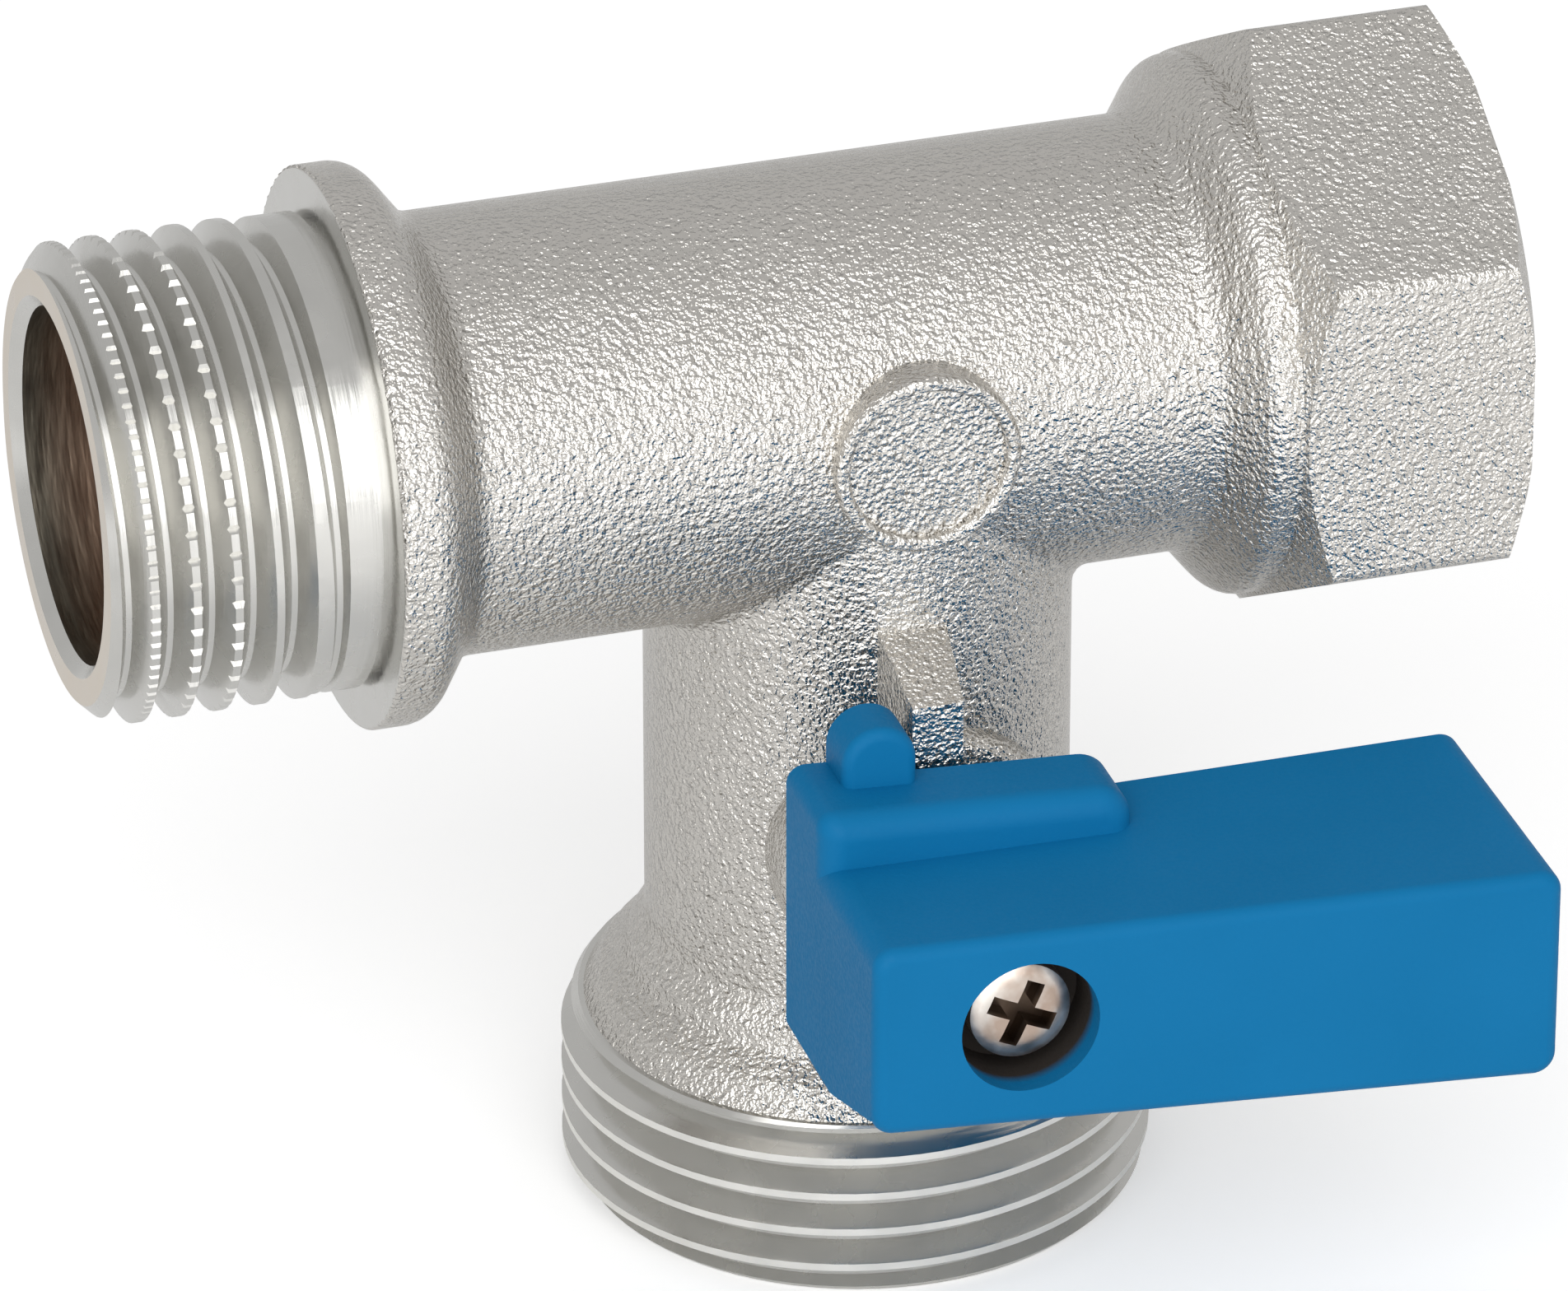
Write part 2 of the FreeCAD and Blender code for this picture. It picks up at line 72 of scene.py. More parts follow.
# %% Place the camera
EYE = Vector((-139.88, -439.93, 239.68)) * MM
AZIMUTH = math.radians(17.24)
ELEVATION = math.radians(28.75)
SENSOR_WIDTH = 36.0
FOCAL_LENGTH = 274.02
look = Vector((math.sin(AZIMUTH) * math.cos(ELEVATION),
               math.cos(AZIMUTH) * math.cos(ELEVATION),
               -math.sin(ELEVATION)))
camera_data = bpy.data.cameras.new("camera")
camera_data.sensor_fit = "HORIZONTAL"
camera_data.sensor_width = SENSOR_WIDTH
camera_data.lens = FOCAL_LENGTH
camera_data.clip_start = 10 * MM
camera = bpy.data.objects.new("camera", camera_data)
camera.location = EYE
camera.rotation_euler = look.to_track_quat("-Z", "Y").to_euler()
bpy.context.scene.collection.objects.link(camera)
bpy.context.scene.camera = camera
bpy.context.scene.view_settings.view_transform = "Standard"
print("camera at", [round(v, 4) for v in camera.location])

# %% [markdown]
# ## Floor, world and lamp
# The valve stands on the ring of its hose outlet. The picture's light is plain and comes from where the
# camera is: the brightest band on every round form faces the lens. A ring of small lamps would leave spots
# on the metal, so one large soft disc behind the camera does it, and a grey world fills the rest.
# The floor is white. Its picture is lifted a little towards pure white, and so is its mirror image in the
# metal, apart from the strip close to the valve, which stays in the valve's own soft shadow.

# %% Helpers for node trees
def add_node(tree, kind, **settings):
    """One node in a tree, with its own settings; a dict of socket values goes in as inputs=."""
    node = tree.nodes.new(kind)
    values = settings.pop("inputs", {})
    for key, value in settings.items():
        setattr(node, key, value)
    for key, value in values.items():
        node.inputs[key].default_value = value
    return node


def wire(tree, *pairs):
    """Join sockets, each pair from an output to an input."""
    for source, target in pairs:
        tree.links.new(source, target)


# %% Floor sheet
FLOOR_Z = cad_box[0][2] - 0.02 * MM
FLOOR_HALF = 4.0
floor_mesh = bpy.data.meshes.new("floor")
floor_mesh.from_pydata([(-FLOOR_HALF, -FLOOR_HALF, FLOOR_Z), (FLOOR_HALF, -FLOOR_HALF, FLOOR_Z),
                        (FLOOR_HALF, FLOOR_HALF, FLOOR_Z), (-FLOOR_HALF, FLOOR_HALF, FLOOR_Z)],
                       [], [(0, 1, 2, 3)])
floor = bpy.data.objects.new("floor", floor_mesh)
bpy.context.scene.collection.objects.link(floor)
print("floor at z", round(FLOOR_Z, 4))

# %% Floor finish
FLOOR_WHITE = 0.9
PICTURE_LIFT = 0.3
STRIP_START, STRIP_END = -80 * MM, -30 * MM
floor_finish = bpy.data.materials.new("pale_floor")
floor_finish.use_nodes = True
tree = floor_finish.node_tree
shader = tree.nodes["Principled BSDF"]
shader.inputs["Roughness"].default_value = 0.9
shader.inputs["Specular IOR Level"].default_value = 0.0
shader.inputs["Base Color"].default_value = (FLOOR_WHITE, FLOOR_WHITE, FLOOR_WHITE, 1.0)
shader.inputs["Emission Color"].default_value = (1.0, 1.0, 1.0, 1.0)
place = add_node(tree, "ShaderNodeTexCoord")
split = add_node(tree, "ShaderNodeSeparateXYZ")
ahead = add_node(tree, "ShaderNodeMapRange", interpolation_type="SMOOTHSTEP",
                 inputs={"From Min": STRIP_START, "From Max": STRIP_END, "To Min": 1.0, "To Max": 0.0})
rays = add_node(tree, "ShaderNodeLightPath")
mirrored = add_node(tree, "ShaderNodeMath", operation="MULTIPLY")
seen = add_node(tree, "ShaderNodeMath", operation="ADD", use_clamp=True)
seen_or_through = add_node(tree, "ShaderNodeMath", operation="ADD", use_clamp=True)
lift = add_node(tree, "ShaderNodeMath", operation="MULTIPLY", inputs={1: PICTURE_LIFT})
wire(tree,
     (place.outputs["Object"], split.inputs[0]),
     (split.outputs["Y"], ahead.inputs["Value"]),
     (rays.outputs["Is Glossy Ray"], mirrored.inputs[0]),
     (ahead.outputs["Result"], mirrored.inputs[1]),
     (rays.outputs["Is Camera Ray"], seen.inputs[0]),
     (mirrored.outputs[0], seen.inputs[1]),
     (seen.outputs[0], seen_or_through.inputs[0]),
     (rays.outputs["Is Transmission Ray"], seen_or_through.inputs[1]),
     (seen_or_through.outputs[0], lift.inputs[0]),
     (lift.outputs[0], shader.inputs["Emission Strength"]))
floor_mesh.materials.append(floor_finish)
print("floor finish:", floor_finish.name)

# %% World
WORLD_LEVEL = 0.63
world = bpy.data.worlds.new("studio")
world.use_nodes = True
background = world.node_tree.nodes["Background"]
background.inputs["Color"].default_value = (1.0, 1.0, 1.0, 1.0)
background.inputs["Strength"].default_value = WORLD_LEVEL
bpy.context.scene.world = world
print("world level", WORLD_LEVEL)

# %% [markdown]
# The lamp is set by how bright its face looks, since that is what the metal mirrors. A disc's power is that
# radiance times pi times its area.

# %% Key lamp
KEY_RADIANCE = 1.9
KEY_RADIUS = 0.52
KEY_DISTANCE = 0.75
KEY_LOWERED = Vector((0.0, 0.0, 0.05))
to_key = -look - KEY_LOWERED
key_lamp = bpy.data.lights.new("key_disc", "AREA")
key_lamp.shape = "DISK"
key_lamp.size = 2 * KEY_RADIUS
key_lamp.energy = KEY_RADIANCE * math.pi * math.pi * KEY_RADIUS ** 2
key = bpy.data.objects.new("key_disc", key_lamp)
key.location = to_key.normalized() * KEY_DISTANCE
key.rotation_euler = (-to_key).to_track_quat("-Z", "Y").to_euler()
bpy.context.scene.collection.objects.link(key)
print("key lamp:", round(key_lamp.energy, 2), "W")

# %% [markdown]
# ## Finishes
# Each finish is a node tree on Object coordinates, in metres, so a grain of half a millimetre has a
# scale of about 2000. Nothing is painted for one view: the sparkle comes from bumps under the lamp.

# %% Start a finish
def start_finish(name, colour, metallic, roughness):
    """New material with its shader's plain values set; returns it with its tree, shader and coordinates."""
    finish = bpy.data.materials.new(name)
    finish.use_nodes = True
    tree = finish.node_tree
    shader = tree.nodes["Principled BSDF"]
    shader.inputs["Base Color"].default_value = (*colour, 1.0)
    shader.inputs["Metallic"].default_value = metallic
    shader.inputs["Roughness"].default_value = roughness
    place = add_node(tree, "ShaderNodeTexCoord")
    return finish, tree, shader, place.outputs["Object"]


def dress_shader(tree, shader, colour, roughness, normal):
    """Wire a colour, a roughness and a bumped normal to the shader."""
    wire(tree, (colour, shader.inputs["Base Color"]), (roughness, shader.inputs["Roughness"]),
         (normal, shader.inputs["Normal"]))


# %% Noise and ranges
NOISE_RANGE = (0.3, 0.7)


def noise(tree, place, scale, detail=2.0, roughness=0.5, stretch=None):
    """Noise at a scale per metre, stretched along an axis if wanted."""
    texture = add_node(tree, "ShaderNodeTexNoise",
                       inputs={"Scale": scale, "Detail": detail, "Roughness": roughness})
    source = place
    if stretch:
        mapping = add_node(tree, "ShaderNodeMapping", inputs={"Scale": stretch})
        wire(tree, (place, mapping.inputs["Vector"]))
        source = mapping.outputs["Vector"]
    wire(tree, (source, texture.inputs["Vector"]))
    return texture.outputs["Fac"]


def remap(tree, value, low, high, start=0.0, end=1.0):
    """Value from one range put on another."""
    node = add_node(tree, "ShaderNodeMapRange",
                    inputs={"From Min": start, "From Max": end, "To Min": low, "To Max": high})
    wire(tree, (value, node.inputs["Value"]))
    return node.outputs["Result"]


# %% Tones and bumps
def two_tones(tree, factor, first, second):
    """Colour between two tones."""
    node = add_node(tree, "ShaderNodeMix", data_type="RGBA")
    node.inputs["A"].default_value = (*first, 1.0)
    node.inputs["B"].default_value = (*second, 1.0)
    wire(tree, (factor, node.inputs["Factor"]))
    return node.outputs["Result"]


def bump(tree, height, distance, under=None):
    """Bump of a height in metres, on top of another bump if there is one."""
    node = add_node(tree, "ShaderNodeBump", inputs={"Strength": 1.0, "Distance": distance})
    wire(tree, (height, node.inputs["Height"]))
    if under is not None:
        wire(tree, (under, node.inputs["Normal"]))
    return node.outputs["Normal"]


# %% [markdown]
# ### Shot-blasted nickel
# The forging was blasted before it was plated, which leaves shallow round dimples about 0.4 mm across.
# A displaced mesh would need millions of faces, so a cell texture and a finer noise go into a bump.

# %% Blasted nickel
DIMPLE_SCALE, DIMPLE_DEPTH = 2500.0, 0.06 * MM
GRAIN_SCALE, GRAIN_DEPTH = 4600.0, 0.2 * MM
PATCH_SCALE = 300.0


def blasted_nickel():
    """Nickel plate over the dimpled skin of the forging."""
    finish, tree, shader, place = start_finish("blasted_nickel", (0.635, 0.612, 0.574), 1.0, 0.16)
    dimples = add_node(tree, "ShaderNodeTexVoronoi", feature="F1",
                       inputs={"Scale": DIMPLE_SCALE, "Randomness": 1.0})
    wire(tree, (place, dimples.inputs["Vector"]))
    grain = noise(tree, place, GRAIN_SCALE, 1.5)
    patches = noise(tree, place, PATCH_SCALE)
    tones = two_tones(tree, patches, (0.605, 0.582, 0.545), (0.665, 0.642, 0.604))
    dimpled = bump(tree, dimples.outputs["Distance"], DIMPLE_DEPTH)
    dress_shader(tree, shader, tones, remap(tree, patches, 0.13, 0.21, *NOISE_RANGE),
                 bump(tree, grain, GRAIN_DEPTH, dimpled))
    return finish


BLASTED = blasted_nickel()
print("finish:", BLASTED.name)

# %% [markdown]
# ### Turned nickel
# Threads, lands and end faces were turned on a lathe after forging and then plated. They are smoother and
# brighter, with fine rings. The rings follow the axis of the lathe, so the noise is stretched flat across it.
# The outlet's crests are painted paler, a painted highlight in place of the light their rounded edges would
# catch, and their finish scatters the light more. On the inlet's lip the plate is thin and the brass shows
# through.

# %% Turned nickel, about X or about Z
RING_SCALE, RING_DEPTH = 5200.0, 0.01 * MM
RINGS_ABOUT_X = (1.0, 0.02, 0.02)
RINGS_ABOUT_Z = (0.02, 0.02, 1.0)
CLOUD_SCALE = 420.0
DULL, BRIGHT = 0.92, 1.08


def turned_nickel(name, across, level, smooth=0.18, rough=0.32, warmth=0.012):
    """Nickel plate over lathe rings about one axis; warmth lets the brass show through."""
    colour = [level * (1.0 + warmth), level, level * (0.97 - warmth)]
    finish, tree, shader, place = start_finish(name, colour, 1.0, (smooth + rough) / 2)
    rings = noise(tree, place, RING_SCALE, 3.0, 0.6, across)
    cloud = noise(tree, place, CLOUD_SCALE, 3.0)
    tones = two_tones(tree, cloud, [DULL * part for part in colour], [BRIGHT * part for part in colour])
    dress_shader(tree, shader, tones, remap(tree, cloud, smooth, rough, *NOISE_RANGE),
                 bump(tree, rings, RING_DEPTH))
    return finish


TURNED_X = turned_nickel("turned_nickel_run", RINGS_ABOUT_X, 0.62)
TURNED_Z = turned_nickel("turned_nickel_outlet", RINGS_ABOUT_Z, 0.62)
# The crests' paler level is a painted highlight; their higher roughness is real.
CREST_HIGHLIGHT_Z = turned_nickel("crest_highlight_nickel_outlet", RINGS_ABOUT_Z, 0.88, 0.4, 0.52)
WORN_LIP = turned_nickel("worn_nickel_lip", RINGS_ABOUT_X, 0.62, 0.26, 0.4, 0.1)
print("finishes:", TURNED_X.name, TURNED_Z.name, CREST_HIGHLIGHT_Z.name, WORN_LIP.name)

# %% [markdown]
# ### Raw brass
# Plating hardly reaches the waterways, so the bores show dull brown brass with drill marks and stains. The
# dark tone at the inlet's mouth is painted shade; further in the brass turns paler and more reddish.

# %% Raw brass
PAINTED_SHADE_UP_TO, REDDISH_FROM = -35.0 * MM, -31.0 * MM
STAIN_SCALE = 300.0
DRILL_SCALE, DRILL_DEPTH = 2600.0, 0.04 * MM
DRILL_STRETCH = (1.0, 0.15, 0.15)


def raw_brass():
    """Stained brass inside the bores, with painted shade towards the inlet's mouth."""
    finish, tree, shader, place = start_finish("raw_brass", (0.38, 0.29, 0.22), 1.0, 0.42)
    stain = noise(tree, place, STAIN_SCALE, 4.0, 0.6)
    marks = noise(tree, place, DRILL_SCALE, 2.0, 0.5, DRILL_STRETCH)
    split = add_node(tree, "ShaderNodeSeparateXYZ")
    wire(tree, (place, split.inputs[0]))
    # The dark tones near the inlet's mouth are painted shade; further in the brass is paler and more reddish.
    blend = add_node(tree, "ShaderNodeMix", data_type="RGBA")
    wire(tree,
         (remap(tree, split.outputs["X"], 0.0, 1.0, PAINTED_SHADE_UP_TO, REDDISH_FROM), blend.inputs["Factor"]),
         (two_tones(tree, stain, (0.06, 0.057, 0.047), (0.29, 0.26, 0.205)), blend.inputs["A"]),
         (two_tones(tree, stain, (0.42, 0.26, 0.18), (0.78, 0.54, 0.4)), blend.inputs["B"]))
    dress_shader(tree, shader, blend.outputs["Result"], remap(tree, marks, 0.3, 0.55),
                 bump(tree, marks, DRILL_DEPTH))
    return finish


BRASS = raw_brass()
print("finish:", BRASS.name)

# %% [markdown]
# ## Threads
# A pipe thread is one V groove that winds round the part. It could be drawn as rings, which is quicker but
# leaves no lead. Here a Geometry Nodes tree bends a line into a helix, sweeps the groove's section along it
# and lifts the tail out of the metal, as the cutting tool does. The sweep is then cut from the forging.

# %% Open and close a Geometry Nodes tree
def open_tree(name, measures, number):
    """New tree with measures, a whole number and a finish to fill in; returns it with those inputs."""
    group = bpy.data.node_groups.new(name, "GeometryNodeTree")
    ports = group.interface
    ports.new_socket("Geometry", in_out="OUTPUT", socket_type="NodeSocketGeometry")
    for label in measures:
        ports.new_socket(label, in_out="INPUT", socket_type="NodeSocketFloat")
    ports.new_socket(number, in_out="INPUT", socket_type="NodeSocketInt")
    ports.new_socket("Finish", in_out="INPUT", socket_type="NodeSocketMaterial")
    return group, add_node(group, "NodeGroupInput").outputs


def close_tree(group, shape, finish):
    """Make copies real, give the shape its finish and hand it out."""
    whole = add_node(group, "GeometryNodeRealizeInstances")
    painted = add_node(group, "GeometryNodeSetMaterial")
    output = add_node(group, "NodeGroupOutput")
    wire(group,
         (shape, whole.inputs[0]),
         (whole.outputs[0], painted.inputs["Geometry"]),
         (finish, painted.inputs["Material"]),
         (painted.outputs[0], output.inputs[0]))
    return group


def reckon(group, operation, first, second=None):
    """Output of one sum; each side is a number or a socket."""
    node = add_node(group, "ShaderNodeMath", operation=operation)
    for index, value in enumerate((first, second)):
        if isinstance(value, (int, float)):
            node.inputs[index].default_value = value
        elif value is not None:
            wire(group, (value, node.inputs[index]))
    return node.outputs[0]


# %% Helix of a groove
def helix(group, given):
    """Line bent round Z at the groove's root; its tail comes out of the metal."""
    line = add_node(group, "GeometryNodeCurvePrimitiveLine")
    points = add_node(group, "GeometryNodeResampleCurve")
    along = add_node(group, "GeometryNodeSplineParameter").outputs["Factor"]
    turned = reckon(group, "MULTIPLY", along, given["Turns"])
    angle = reckon(group, "MULTIPLY", turned, 2 * math.pi)
    climb = reckon(group, "MULTIPLY", turned, given["Pitch"])
    tail = add_node(group, "ShaderNodeMapRange", interpolation_type="SMOOTHSTEP", inputs={"From Max": 1.0})
    radius = reckon(group, "ADD", given["Root Radius"], tail.outputs["Result"])
    spot = add_node(group, "ShaderNodeCombineXYZ")
    bent = add_node(group, "GeometryNodeSetPosition")
    upright = add_node(group, "GeometryNodeSetCurveNormal", mode="Z_UP")
    wire(group,
         (line.outputs[0], points.inputs["Curve"]),
         (given["Steps"], points.inputs["Count"]),
         (along, tail.inputs["Value"]),
         (reckon(group, "SUBTRACT", 1.0, given["Runout Share"]), tail.inputs["From Min"]),
         (given["Runout"], tail.inputs["To Max"]),
         (reckon(group, "MULTIPLY", radius, reckon(group, "COSINE", angle)), spot.inputs["X"]),
         (reckon(group, "MULTIPLY", radius, reckon(group, "SINE", angle)), spot.inputs["Y"]),
         (reckon(group, "ADD", climb, given["Start"]), spot.inputs["Z"]),
         (points.outputs[0], bent.inputs["Geometry"]),
         (spot.outputs[0], bent.inputs["Position"]),
         (bent.outputs[0], upright.inputs[0]))
    return upright.outputs[0]


# %% Section of a groove, swept along the helix
def groove_section(group, given):
    """Four-cornered V, narrow at the root and wide at the mouth."""
    section = add_node(group, "GeometryNodeCurvePrimitiveQuadrilateral", mode="POINTS")
    corners = (("Root Half", -1), ("Root Half", 1), ("Mouth Half", 1), ("Mouth Half", -1))
    for number, (half, side) in enumerate(corners, start=1):
        corner = add_node(group, "ShaderNodeCombineXYZ")
        if half == "Mouth Half":
            wire(group, (given["Reach"], corner.inputs["X"]))
        wire(group,
             (reckon(group, "MULTIPLY", given[half], side), corner.inputs["Y"]),
             (corner.outputs[0], section.inputs["Point " + str(number)]))
    return section.outputs[0]


def groove_tree():
    """Helix about Z with a V section, for all three pipe threads."""
    group, given = open_tree("thread_groove", (
        "Root Radius", "Pitch", "Start", "Turns", "Runout", "Runout Share",
        "Root Half", "Mouth Half", "Reach"), "Steps")
    sweep = add_node(group, "GeometryNodeCurveToMesh", inputs={"Fill Caps": True})
    wire(group,
         (helix(group, given), sweep.inputs["Curve"]),
         (groove_section(group, given), sweep.inputs["Profile Curve"]))
    return close_tree(group, sweep.outputs[0], given["Finish"])


GROOVE = groove_tree()
print("tree:", GROOVE.name, len(GROOVE.nodes), "nodes")

# %% Turn a tree into a plain mesh
SAME_POINT = 0.0005 * MM


def join_points(mesh, face_outwards=False):
    """Merge points that lie on each other; turn all faces outwards if wanted."""
    skin = bmesh.new()
    skin.from_mesh(mesh)
    bmesh.ops.remove_doubles(skin, verts=skin.verts, dist=SAME_POINT)
    if face_outwards:
        bmesh.ops.recalc_face_normals(skin, faces=skin.faces)
    skin.to_mesh(mesh)
    skin.free()


def grow(name, group, sizes):
    """Mesh that a Geometry Nodes tree makes from the given sizes."""
    holder = bpy.data.objects.new(name, bpy.data.meshes.new(name))
    bpy.context.scene.collection.objects.link(holder)
    modifier = holder.modifiers.new("tree", "NODES")
    modifier.node_group = group
    for item in group.interface.items_tree:
        if item.in_out == "INPUT" and item.name in sizes:
            modifier[item.identifier] = sizes[item.name]
    ready = holder.evaluated_get(bpy.context.evaluated_depsgraph_get())
    grown = bpy.data.meshes.new_from_object(ready)
    bpy.data.objects.remove(holder)
    join_points(grown, face_outwards=True)
    return grown


# %% [markdown]
# The three grooves follow the pipe thread standard: 14 turns an inch, a 55 degree V and a depth of 0.64
# pitches. The turns start where the photograph shows their crests. The inlet and socket lie along X, so
# their helix is turned from Z to X. The socket's groove is cut outwards, so its section is mirrored.

# %% Sizes of a pipe thread
PITCH = 1.814 * MM
DEPTH = 1.162 * MM
CREST_FLAT = 0.34 * MM
OVERCUT = 0.2 * MM
FLANK = math.tan(math.radians(27.5))
STEPS_PER_TURN = 120


def groove(name, crest_radius, start, turns, runout, finish, outward):
    """Swept groove of a pipe thread about Z, cut inwards from outside or outwards in a bore; its last
    turns, runout of them, come out of the metal."""
    mouth_half = (PITCH - CREST_FLAT) / 2 + OVERCUT * FLANK
    side = 1 if outward else -1
    reach = -side * (DEPTH + OVERCUT)
    return grow(name, GROOVE, {
        "Root Radius": crest_radius + side * DEPTH,
        "Pitch": PITCH,
        "Start": start,
        "Turns": turns,
        "Runout": reach,
        "Runout Share": runout / turns,
        "Root Half": mouth_half - (DEPTH + OVERCUT) * FLANK,
        "Mouth Half": mouth_half,
        "Reach": reach,
        "Steps": int(turns * STEPS_PER_TURN),
        "Finish": finish,
    })


# %% Groove the three threads
ABOUT_X = Matrix(((0, 0, 1, 0), (0, 1, 0, 0), (-1, 0, 0, 0), (0, 0, 0, 1)))
ABOUT_Z = Matrix.Identity(4)
INLET_RADIUS = 10.4775 * MM
OUTLET_RADIUS = 13.2205 * MM
SOCKET_RADIUS = 9.3155 * MM
# name, axis, crest radius, start, turns, turns of the run-out, finish, cut outwards
THREADS = (
    ("inlet_groove", ABOUT_X, INLET_RADIUS, -38.39 * MM, 7.4, 1.2, TURNED_X, False),
    ("outlet_groove", ABOUT_Z, OUTLET_RADIUS, -39.82 * MM, 5.2, 0.45, TURNED_Z, False),
    ("socket_groove", ABOUT_X, SOCKET_RADIUS, 14.5 * MM, 7.4, 0.45, TURNED_X, True),
)
cutters = {}
for name, axis, *sizes in THREADS:
    cutters[name] = groove(name, *sizes)
    cutters[name].transform(axis)
    print(name, len(cutters[name].polygons), "faces")

# %% [markdown]
# ### Serrated crests
# The first turns of the inlet thread are serrated across their crests, so that hemp or tape can't slip
# round with the pipe, finely on the first crest and coarser on the next two. One small wedge is made, copied
# round a circle with Instance on Points and cut away.

# %% Tree for the serrations
def serration_tree():
    """Wedges in a ring about Z, each lying along Z."""
    group, given = open_tree("crest_serrations", ("Ring Radius", "Wedge Radius", "Middle", "Length"), "Count")
    ring = add_node(group, "GeometryNodeMeshCircle", fill_type="NONE")
    middle = add_node(group, "ShaderNodeCombineXYZ")
    placed_ring = add_node(group, "GeometryNodeTransform")
    wedge = add_node(group, "GeometryNodeMeshCylinder", inputs={"Vertices": 4})
    spot = add_node(group, "GeometryNodeInputPosition")
    outwards = add_node(group, "FunctionNodeAlignRotationToVector", axis="X", pivot_axis="Z")
    copies = add_node(group, "GeometryNodeInstanceOnPoints")
    wire(group,
         (given["Count"], ring.inputs["Vertices"]),
         (given["Ring Radius"], ring.inputs["Radius"]),
         (given["Middle"], middle.inputs["Z"]),
         (ring.outputs[0], placed_ring.inputs["Geometry"]),
         (middle.outputs[0], placed_ring.inputs["Translation"]),
         (given["Wedge Radius"], wedge.inputs["Radius"]),
         (given["Length"], wedge.inputs["Depth"]),
         (spot.outputs[0], outwards.inputs["Vector"]),
         (placed_ring.outputs[0], copies.inputs["Points"]),
         (wedge.outputs["Mesh"], copies.inputs["Instance"]),
         (outwards.outputs[0], copies.inputs["Rotation"]))
    return close_tree(group, copies.outputs[0], given["Finish"])


SERRATIONS = serration_tree()
print("tree:", SERRATIONS.name, len(SERRATIONS.nodes), "nodes")

# %% Serrate the inlet's crests
NOTCH_LIFT = 0.08 * MM
FIRST_CREST = {"Count": 96, "Wedge Radius": 0.21 * MM, "Middle": -34.5 * MM, "Length": 2.2 * MM}
NEXT_CRESTS = {"Count": 56, "Wedge Radius": 0.29 * MM, "Middle": -31.8 * MM, "Length": 3.2 * MM}
for name, sizes in (("first_serrations", FIRST_CREST), ("next_serrations", NEXT_CRESTS)):
    sizes |= {"Ring Radius": INLET_RADIUS + NOTCH_LIFT, "Finish": TURNED_X}
    cutters[name] = grow(name, SERRATIONS, sizes)
    cutters[name].transform(ABOUT_X)
    print(name, len(cutters[name].polygons), "faces")

# %% [markdown]
# ## The forging
# The CAD body is copied and its loose triangles are merged into a closed skin. The grooves and notches are
# cut from it, and each face then takes the finish that the real surface has: blasted where the forging die
# left it, turned where the lathe went, and bare brass in the bores.

# %% Copy the body and cut the threads
def merged_copy(node_name, piece_name):
    """Copy of a CAD node's faces with its triangles joined, as a new object at the origin."""
    source = nodes[node_name].data
    mesh = bpy.data.meshes.new(piece_name)
    mesh.from_pydata([tuple(v.co) for v in source.vertices], [], [tuple(f.vertices) for f in source.polygons])
    join_points(mesh)
    piece = bpy.data.objects.new(piece_name, mesh)
    bpy.context.scene.collection.objects.link(piece)
    return piece


def cut_away(piece, meshes):
    """Cut each mesh from the piece and keep the result as a plain mesh."""
    tools = []
    for name, mesh in meshes.items():
        tool = bpy.data.objects.new(name, mesh)
        bpy.context.scene.collection.objects.link(tool)
        tools.append(tool)
        modifier = piece.modifiers.new(name, "BOOLEAN")
        modifier.operation = "DIFFERENCE"
        modifier.solver = "MANIFOLD"
        modifier.object = tool
    ready = piece.evaluated_get(bpy.context.evaluated_depsgraph_get())
    result = bpy.data.meshes.new_from_object(ready)
    piece.modifiers.clear()
    piece.data = result
    for tool in tools:
        bpy.data.objects.remove(tool)


forging = merged_copy("valve_body", "forging")
before = len(forging.data.polygons)
cut_away(forging, cutters)
print("forging faces", before, "->", len(forging.data.polygons))

# %% Helper that paints faces
def paint_faces(piece, finishes, chosen):
    """Put finishes on a mesh; chosen gives each face's place in the list from its centre and normal."""
    mesh = piece.data
    mesh.materials.clear()
    for finish in finishes:
        mesh.materials.append(finish)
    count = len(mesh.polygons)
    centres = np.zeros(count * 3, np.float32)
    normals = np.zeros(count * 3, np.float32)
    mesh.polygons.foreach_get("center", centres)
    mesh.polygons.foreach_get("normal", normals)
    picks = chosen(centres.reshape(-1, 3), normals.reshape(-1, 3)).astype(np.int32)
    mesh.polygons.foreach_set("material_index", picks)
    mesh.update()
    return np.bincount(picks, minlength=len(finishes))


# %% [markdown]
# The borders between the finishes are read off the solids: along X for the run, along Z for the branch, and by
# the distance from either axis. A later line wins over an earlier one where both fit.

# %% Give each face its finish
COLLAR_FACE, INSIDE_COLLAR = -23.88 * MM, 13 * MM
SOCKET_FACE, SOCKET_FLOOR, SOCKET_ROOT = 26.8 * MM, 13.3 * MM, 10.6 * MM
OUTLET_TOP, OUTLET_LIP, ON_CREST = -30.75 * MM, 8.3 * MM, OUTLET_RADIUS - 0.03 * MM
INLET_LIP, BEHIND_CHAMFER, RUN_BORE = -34.9 * MM, -35.9 * MM, 7.85 * MM
BRANCH_BORE, BRANCH_ROOF, BEHIND_STEM = 8.0 * MM, -7 * MM, -9 * MM
UPRIGHT, FACING = 0.3, 0.9
METALS = (BLASTED, TURNED_X, TURNED_Z, BRASS, CREST_HIGHLIGHT_Z, WORN_LIP)


